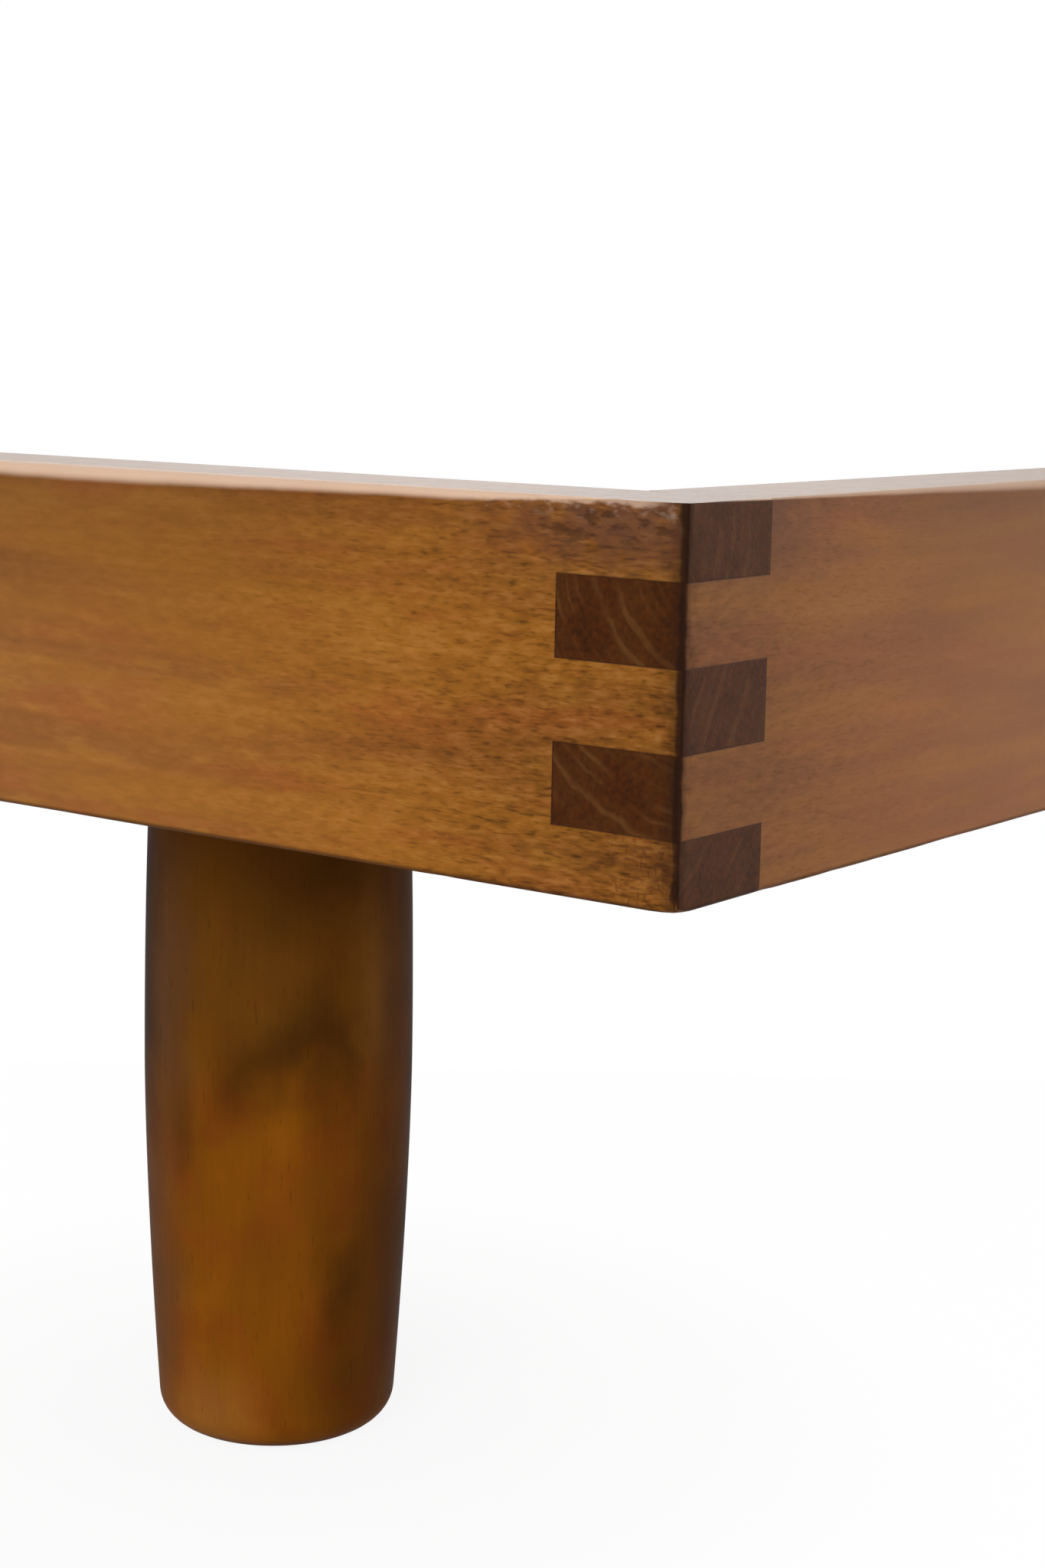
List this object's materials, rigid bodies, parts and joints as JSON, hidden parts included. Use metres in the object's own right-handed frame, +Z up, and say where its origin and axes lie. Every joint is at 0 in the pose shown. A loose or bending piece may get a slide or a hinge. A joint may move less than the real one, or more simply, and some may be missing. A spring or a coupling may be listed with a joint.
{
  "type": "wooden bed frame",
  "caption": "Low single bed frame: thick plank rails finger-jointed at the corners, turned round legs set in under cross bearers, plank slats in the well.",
  "frame": {"origin": "on the floor under the middle of the bed", "axes": "+X across the width, +Y along the length from the foot end to the head end, +Z up"},
  "size_m": [0.98, 1.98, 0.319],
  "materials": {
    "rail_wood": "satin lacquer over stained mahogany-like wood, darker end grain, worn arrises",
    "leg_wood": "satin lacquer over dark mottled turned wood",
    "bearer_wood": "oiled, unpolished",
    "slat_wood": "planed pale softwood, uncoated",
    "wedge_wood": "dark hardwood, sawn flush",
    "screw_brass": "dull countersunk slotted heads"
  },
  "bodies": {
    "root": {"side_rail_left": "rail_wood", "side_rail_right": "rail_wood", "foot_rail": "rail_wood", "head_rail": "rail_wood", "leg_foot_left": "leg_wood", "leg_foot_right": "leg_wood", "leg_head_left": "leg_wood", "leg_head_right": "leg_wood", "wedge_foot_left": "wedge_wood", "wedge_foot_right": "wedge_wood", "wedge_head_left": "wedge_wood", "wedge_head_right": "wedge_wood", "bearer_foot": "bearer_wood", "bearer_head": "bearer_wood", "ledger_left_foot": "bearer_wood", "ledger_left_middle": "bearer_wood", "ledger_left_head": "bearer_wood", "ledger_right_foot": "bearer_wood", "ledger_right_middle": "bearer_wood", "ledger_right_head": "bearer_wood", "slat_1": "slat_wood", "slat_2": "slat_wood", "slat_3": "slat_wood", "slat_4": "slat_wood", "slat_5": "slat_wood", "slat_6": "slat_wood", "slat_7": "slat_wood", "slat_8": "slat_wood", "slat_9": "slat_wood", "slat_10": "slat_wood", "slat_11": "slat_wood", "slat_12": "slat_wood", "ledger_screws_left": "screw_brass", "ledger_screws_right": "screw_brass", "slat_screws_left": "screw_brass", "slat_screws_right": "screw_brass"}
  },
  "joints": []
}
